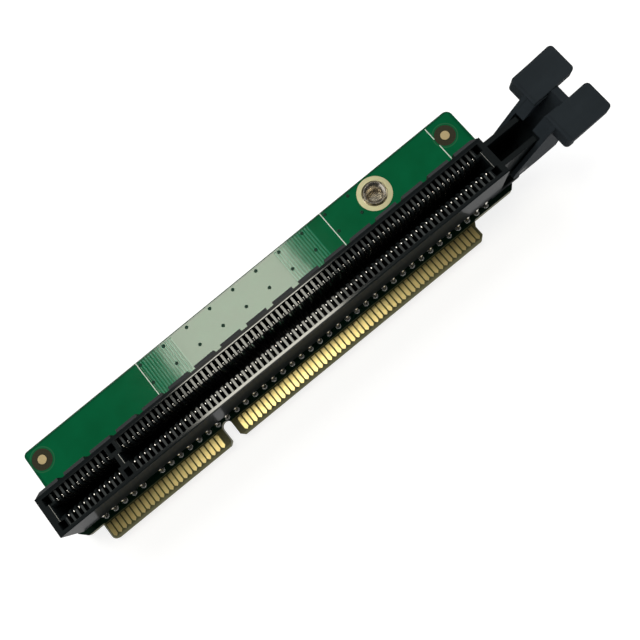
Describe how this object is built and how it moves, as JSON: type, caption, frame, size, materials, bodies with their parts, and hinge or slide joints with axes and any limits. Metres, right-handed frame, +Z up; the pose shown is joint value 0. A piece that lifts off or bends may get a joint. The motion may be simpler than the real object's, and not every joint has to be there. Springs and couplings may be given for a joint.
{
  "type": "pcie riser card",
  "caption": "Riser card with edge fingers on one long side, a x16 card slot with a hinged lever latch, and a threaded fixing bush.",
  "frame": {"origin": "where the fixing bush's thread axis crosses the board's component face", "axes": "+X along the slot towards the latch, +Y from the edge fingers to the plain long edge, +Z up out of the component face along the thread"},
  "size_m": [0.1062, 0.0215, 0.019],
  "materials": {
    "solder_mask": "glossy green solder mask on glass-epoxy laminate",
    "black_moulding": "satin black moulded plastic",
    "contact_alloy": "plated spring contacts with tinned tails",
    "gold_plating": "hard gold plating",
    "tinned_copper": "bright solder finish",
    "plated_brass": "bright nickel plate"
  },
  "bodies": {
    "riser": {"circuit_board": "solder_mask", "slot_housing": "black_moulding", "threaded_bush": "plated_brass", "fixing_pad": "gold_plating", "left_fiducial": "tinned_copper", "right_fiducial": "tinned_copper", "far_outer_contacts_short": "contact_alloy", "far_outer_contacts_long": "contact_alloy", "far_inner_contacts_short": "contact_alloy", "far_inner_contacts_long": "contact_alloy", "near_outer_contacts_short": "contact_alloy", "near_outer_contacts_long": "contact_alloy", "near_inner_contacts_short": "contact_alloy", "near_inner_contacts_long": "contact_alloy", "front_short_fingers": "gold_plating", "front_long_fingers": "gold_plating", "back_short_fingers": "gold_plating", "back_long_fingers": "gold_plating"},
    "latch": {"card_latch": "black_moulding"}
  },
  "joints": [
    {"name": "latch_hinge", "type": "hinge", "parent": "riser", "child": "latch", "pos_m": [0.01985, -0.01025, 0.0039], "axis": [0, 1, 0], "range_deg": [0, 22]}
  ]
}
